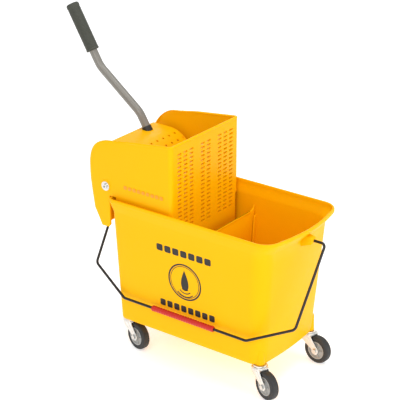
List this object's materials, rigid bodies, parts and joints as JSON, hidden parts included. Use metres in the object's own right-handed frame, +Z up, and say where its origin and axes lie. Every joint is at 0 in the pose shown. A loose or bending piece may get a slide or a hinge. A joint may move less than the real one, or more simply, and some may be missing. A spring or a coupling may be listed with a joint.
{
  "type": "mop bucket with wringer",
  "caption": "Wheeled rectangular mop bucket with a lift-off side-press wringer, bent lever handle and hanging wire bail.",
  "frame": {"origin": "on the floor, in the bucket's middle plane, 87 mm ahead of the outer face of the bucket's wringer end wall at the underside", "axes": "+X towards the pouring end, -Y towards the side where the bail hangs, +Z up"},
  "size_m": [0.7451, 0.2723, 0.7277],
  "materials": {
    "yellow_plastic": "injection-moulded, semi-gloss",
    "steel_zinc": "zinc plated",
    "bright_fastener": "bright plated",
    "tube_grey": "warm grey powder coat",
    "grip_black": "fine matte texture",
    "bail_black": "black coated wire",
    "grip_red": "moulded",
    "collar_black": "moulded",
    "hub_grey": "moulded light grey",
    "tyre_grey": "soft grey rubber",
    "nylon_bush": "moulded nylon"
  },
  "bodies": {
    "bucket_body": {"bucket": "yellow_plastic", "divider": "yellow_plastic", "stem_front_right": "steel_zinc", "stem_front_left": "steel_zinc", "stem_rear_right": "steel_zinc", "stem_rear_left": "steel_zinc"},
    "bail": {"bail_wire": "bail_black", "bail_grip": "grip_red"},
    "wringer": {"wringer_housing": "yellow_plastic", "lever_axle": "steel_zinc", "axle_bushes": "nylon_bush", "axle_washers": "bright_fastener", "axle_screws": "bright_fastener", "return_spring": "steel_zinc"},
    "lever": {"press_plate": "yellow_plastic", "handle_tube": "tube_grey", "handle_collar": "collar_black", "handle_screw": "bright_fastener", "handle_grip": "grip_black"},
    "caster_front_right": {"fork_front_right": "steel_zinc", "race_front_right": "steel_zinc", "bolt_front_right": "bright_fastener", "nut_front_right": "bright_fastener"},
    "wheel_front_right": {"hub_front_right": "hub_grey", "tyre_front_right": "tyre_grey"},
    "caster_front_left": {"fork_front_left": "steel_zinc", "race_front_left": "steel_zinc", "bolt_front_left": "bright_fastener", "nut_front_left": "bright_fastener"},
    "wheel_front_left": {"hub_front_left": "hub_grey", "tyre_front_left": "tyre_grey"},
    "caster_rear_right": {"fork_rear_right": "steel_zinc", "race_rear_right": "steel_zinc", "bolt_rear_right": "bright_fastener", "nut_rear_right": "bright_fastener"},
    "wheel_rear_right": {"hub_rear_right": "hub_grey", "tyre_rear_right": "tyre_grey"},
    "caster_rear_left": {"fork_rear_left": "steel_zinc", "race_rear_left": "steel_zinc", "bolt_rear_left": "bright_fastener", "nut_rear_left": "bright_fastener"},
    "wheel_rear_left": {"hub_rear_left": "hub_grey", "tyre_rear_left": "tyre_grey"}
  },
  "joints": [
    {"name": "wringer_lift", "type": "slide", "parent": "bucket_body", "child": "wringer", "axis": [0, 0, 1], "range_m": [0, 0.18]},
    {"name": "lever_press", "type": "hinge", "parent": "wringer", "child": "lever", "pos_m": [-0.111, 0, 0.3945], "axis": [0, -1, 0], "range_deg": [0, 35]},
    {"name": "bail_swing", "type": "hinge", "parent": "bucket_body", "child": "bail", "pos_m": [0.1045, 0, 0.345], "axis": [1, 0, 0], "range_deg": [-148, 0]},
    {"name": "swivel_front_right", "type": "hinge", "parent": "bucket_body", "child": "caster_front_right", "pos_m": [0.283, -0.094, 0.066], "axis": [0, 0, 1], "continuous": true},
    {"name": "roll_front_right", "type": "hinge", "parent": "caster_front_right", "child": "wheel_front_right", "pos_m": [0.30773, -0.10203, 0.0318], "axis": [0.309, 0.9511, 0], "continuous": true},
    {"name": "swivel_front_left", "type": "hinge", "parent": "bucket_body", "child": "caster_front_left", "pos_m": [0.284, 0.098, 0.066], "axis": [0, 0, 1], "continuous": true},
    {"name": "roll_front_left", "type": "hinge", "parent": "caster_front_left", "child": "wheel_front_left", "pos_m": [0.30994, 0.09619, 0.0318], "axis": [0.0698, 0.9976, 0], "continuous": true},
    {"name": "swivel_rear_right", "type": "hinge", "parent": "bucket_body", "child": "caster_rear_right", "pos_m": [-0.076, -0.086, 0.066], "axis": [0, 0, 1], "continuous": true},
    {"name": "roll_rear_right", "type": "hinge", "parent": "caster_rear_right", "child": "wheel_rear_right", "pos_m": [-0.05077, -0.09229, 0.0318], "axis": [0.2419, 0.9703, 0], "continuous": true},
    {"name": "swivel_rear_left", "type": "hinge", "parent": "bucket_body", "child": "caster_rear_left", "pos_m": [-0.076, 0.086, 0.066], "axis": [0, 0, 1], "continuous": true},
    {"name": "roll_rear_left", "type": "hinge", "parent": "caster_rear_left", "child": "wheel_rear_left", "pos_m": [-0.05057, 0.08059, 0.0318], "axis": [0.2079, 0.9781, 0], "continuous": true}
  ]
}
